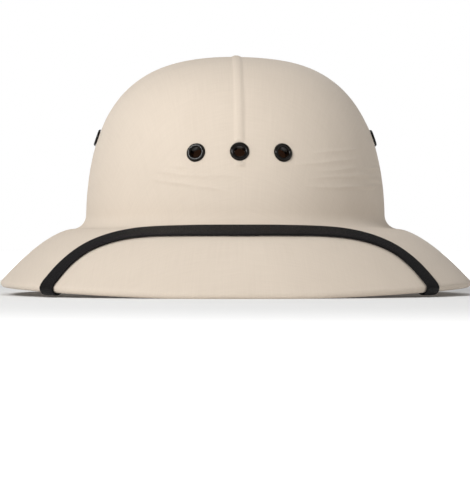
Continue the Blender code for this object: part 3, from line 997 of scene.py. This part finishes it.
brown_felt, shader = blank_look("brown_felt", specular=0.1)
shader.inputs["Roughness"].default_value = 0.95
shader.inputs["Sheen Weight"].default_value = 0.3
place = wired(brown_felt, "ShaderNodeTexCoord", {}).outputs["Object"]
fibres = wired(
    brown_felt,
    "ShaderNodeTexNoise",
    {"Vector": place, "Scale": 1500, "Detail": 6, "Roughness": 0.7},
)
tufts = wired(
    brown_felt,
    "ShaderNodeTexNoise",
    {"Vector": place, "Scale": 350, "Detail": 3, "Distortion": 1.5},
)
felt_tint = wired(
    brown_felt,
    "ShaderNodeMix",
    {"Factor": tufts.outputs["Fac"], "A": (0.12, 0.075, 0.05, 1), "B": (0.27, 0.18, 0.125, 1)},
    data_type="RGBA",
)
felt_bump = wired(
    brown_felt,
    "ShaderNodeBump",
    {"Height": fibres.outputs["Fac"], "Distance": 0.0003, "Strength": 0.9},
)
brown_felt.node_tree.links.new(felt_tint.outputs[2], shader.inputs["Base Color"])
brown_felt.node_tree.links.new(felt_bump.outputs["Normal"], shader.inputs["Normal"])


def spacer_place(middle_angle, block):
    """Bends a point of a unit block into the gap: x round the helmet, y outwards, z up."""
    angle = math.radians(middle_angle + block.x * SPACER_ARC)
    z = SPACER_BOTTOM + (block.z + 0.5) * (SPACER_TOP - SPACER_BOTTOM)
    far = under_crown(crown_bend(z), angle, LINING_IN + GAP)
    near = band_place(angle, BAND_WALL / 2 + GAP, z)
    far.z = z
    return near.lerp(far, block.y + 0.5)


for name, spot_angle in SPACERS:
    mesh = bmesh.new()
    bmesh.ops.create_cube(mesh, size=1)
    bmesh.ops.bevel(
        mesh,
        geom=mesh.edges[:],
        offset=SPACER_ROUND,
        segments=3,
        profile=0.5,
        affect="EDGES",
        material=-1,
    )
    bmesh.ops.subdivide_edges(mesh, edges=mesh.edges, cuts=3, use_grid_fill=True)
    for vert in mesh.verts:
        fuzz = SPACER_FUZZ * noise.noise(vert.co * 6 + Vector((spot_angle, 0, 0)))
        vert.co = spacer_place(spot_angle, vert.co * (1 - abs(fuzz)))
    bmesh.ops.reverse_faces(mesh, faces=mesh.faces)  # the bend has mirrored the block
    block = finished(name.replace("band_spacer", "felt_block"), mesh, brown_felt)
    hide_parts(name)


# Chin strap. One flat strap of black leatherette, riveted to the headband at both ends and stowed
# over the front of the brim: along the crown's foot, out over the corners and round under the rim.

STRAP_WIDTH = 0.0120
STRAP_THICKNESS = 0.0013
STRAP_GAP = 0.0004
# Its way over the front brim: angle round the helmet, step out from the crown's foot
STRAP_ROUTE = (
    (0.0, 0.17),
    (13.0, 0.17),
    (25.0, 0.195),
    (33.0, 0.26),
    (39.5, 0.38),
    (44.0, 0.54),
    (46.3, 0.74),
    (47.0, 0.94),
)
STRAP_RIM_TURNS = (20, -15, -50, -85, -120)  # degrees round the rim's section, from level outwards
STRAP_FREE_STEPS = (0.07, 0.25, 0.50, 0.75, 0.93)  # of the straight way from the rim to the band
STRAP_ANCHOR = math.radians(45)  # where its ends run up the headband, and at what heights
STRAP_ANCHOR_HEIGHTS = (0.0412, 0.0435, 0.0480, 0.0535, 0.0590)
STRAP_PIECES = 9  # rows to each stretch of the route
STRAP_AROUND = 28
STRAP_GIRTH = STRAP_WIDTH * 2.2
SIDE_POWER = 0.28  # exponents of its section: 1 is an ellipse, and less is squarer
FACE_POWER = 0.38
STRAP_WANDER = 0.00012


def strap_half():
    """Places and outward directions of the strap's middle, from the front to its right end."""
    lift = STRAP_GAP + STRAP_THICKNESS / 2
    points = []
    for degrees, step in STRAP_ROUTE:
        angle = math.radians(degrees)
        up = normal(brim_point, step, angle)
        points.append((brim_point(step, angle) + up * lift, up))
    rim_angle = math.radians(STRAP_ROUTE[-1][0])
    for turn in map(math.radians, STRAP_RIM_TURNS):
        place = rim_point(turn, rim_angle, RIM_RADIUS + lift)
        points.append((place, (place - rim_centre(rim_angle)).normalized()))
    way = outward(crown_foot, STRAP_ANCHOR)
    stand = BAND_WALL / 2 + GAP + STRAP_THICKNESS / 2
    held = [(band_place(STRAP_ANCHOR, stand, z), -way) for z in STRAP_ANCHOR_HEIGHTS]
    leaves, arrives = points[-1], held[0]
    for step in STRAP_FREE_STEPS:
        points.append(tuple(a.lerp(b, step) for a, b in zip(leaves, arrives)))
    return points + held


def smooth_way(points, pieces):
    """Points between the given ones on a smooth curve (Catmull-Rom), directions with them."""
    made = []
    padded = [points[0], *points, points[-1]]
    for before, start, end, after in zip(padded, padded[1:], padded[2:], padded[3:]):
        for t in steps(0, 1, pieces):
            made.append(tuple(
                b + (c - a) * t / 2
                + (a * 2 - b * 5 + c * 4 - d) * t * t / 2
                + (b * 3 - a - c * 3 + d) * t * t * t / 2
                for a, b, c, d in zip(before, start, end, after)
            ))
    made.append(points[-1])
    return made


strap_right = strap_half()
over = Vector((-1, 1, 1))
strap_left = [(place * over, up * over) for place, up in reversed(strap_right[1:])]
strap_line = smooth_way(strap_left + strap_right, STRAP_PIECES)
strap_run = [0.0]
for (place_a, _), (place_b, _) in zip(strap_line, strap_line[1:]):
    strap_run.append(strap_run[-1] + (place_b - place_a).length)


def strap_station(row):
    """The station of a row of its skin: the rows that close the ends share their neighbours'."""
    return min(max(row - 1, 0), len(strap_line) - 1)


def strap_place(row, column):
    """A point of the strap's skin: a flat section with rounded edges, closed at both ends."""
    station = strap_station(row)
    place, up = strap_line[station]
    if row in (0, len(strap_line) + 1):
        return place
    before, after = max(station - 1, 0), min(station + 1, len(strap_line) - 1)
    ahead = strap_line[after][0] - strap_line[before][0]
    across = ahead.cross(up).normalized()
    up = across.cross(ahead).normalized()
    turn = 2 * math.pi * (column % STRAP_AROUND) / STRAP_AROUND
    side, rise = math.cos(turn), math.sin(turn)
    out = math.copysign(abs(side) ** SIDE_POWER, side) * STRAP_WIDTH / 2
    lift = math.copysign(abs(rise) ** FACE_POWER, rise) * STRAP_THICKNESS / 2
    wander = STRAP_WANDER * noise.noise(Vector((strap_run[station] * 35, out * 60, 2.2)))
    return place + across * out + up * (lift + wander)


strap_mesh = drawn_skin(
    STRAP_AROUND,
    len(strap_line) + 1,
    strap_place,
    lambda row, column: (strap_run[strap_station(row)], STRAP_GIRTH * column / STRAP_AROUND),
)
black_leatherette = leather_look("black_leatherette", roughness=0.42)
strap = finished("chin_strap_band", strap_mesh, black_leatherette)
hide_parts("chin_strap")


# Strap rivets. Two small rivets, lacquered black as the eyelets are, through the ends of the strap
# and the headband: a low dome inside the band, and a flat tail on the strap.

RIVET_Z = 0.0555
RIVET_SHANK = 0.0016
RIVET_HEAD = 0.0035
RIVET_HEAD_HEIGHT = 0.0009
RIVET_TAIL = RIVET_HEAD * 0.7
RIVET_TAIL_FLAT = RIVET_HEAD * 0.62
RIVET_TAIL_HEIGHT = 0.0004
RIVET_STEPS = 32
RIVET_CLEARANCE = 0.0001
RIVET_HOLE_DEPTH = 0.016
rivet_outer = BAND_WALL / 2 + GAP + STRAP_THICKNESS + GAP
rivet_inner = -BAND_WALL / 2 - GAP / 2
dome_radius = (RIVET_HEAD**2 + RIVET_HEAD_HEIGHT**2) / (2 * RIVET_HEAD_HEIGHT)
dome_half = math.degrees(math.asin(RIVET_HEAD / dome_radius))
dome = arc((0, rivet_inner + dome_radius - RIVET_HEAD_HEIGHT), dome_radius, dome_half - 90, -90, 8)
rivet_profile = [
    (0, rivet_outer + RIVET_TAIL_HEIGHT),
    (RIVET_TAIL_FLAT, rivet_outer + RIVET_TAIL_HEIGHT),
    (RIVET_TAIL, rivet_outer + RIVET_TAIL_HEIGHT * 0.6),
    (RIVET_TAIL, rivet_outer),
    (RIVET_SHANK, rivet_outer),
    (RIVET_SHANK, rivet_inner),
    (RIVET_HEAD, rivet_inner),
    *dome[:-1],
    (0, rivet_inner - RIVET_HEAD_HEIGHT),
]
rivet_seats = []
for name, side in (("left", -1), ("right", 1)):
    mesh = turned_mesh(rivet_profile, RIVET_STEPS)
    way = outward(crown_foot, side * STRAP_ANCHOR)
    lean = (way + UP * BAND_FLARE / (BAND_TOP - BAND_BOTTOM)).normalized()
    turn = lean.to_track_quat("Z", "Y").to_matrix().to_4x4()
    turn.translation = band_place(side * STRAP_ANCHOR, 0, RIVET_Z)
    rivet_seats.append(turn)
    bmesh.ops.transform(mesh, matrix=turn, verts=mesh.verts)
    rivet = finished(f"domed_rivet_{name}", mesh, black_lacquer)
    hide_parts(f"strap_rivet_{name}")

for piece in (band, strap):
    cut(piece, drilled(rivet_seats, RIVET_SHANK + RIVET_CLEARANCE, RIVET_HOLE_DEPTH))
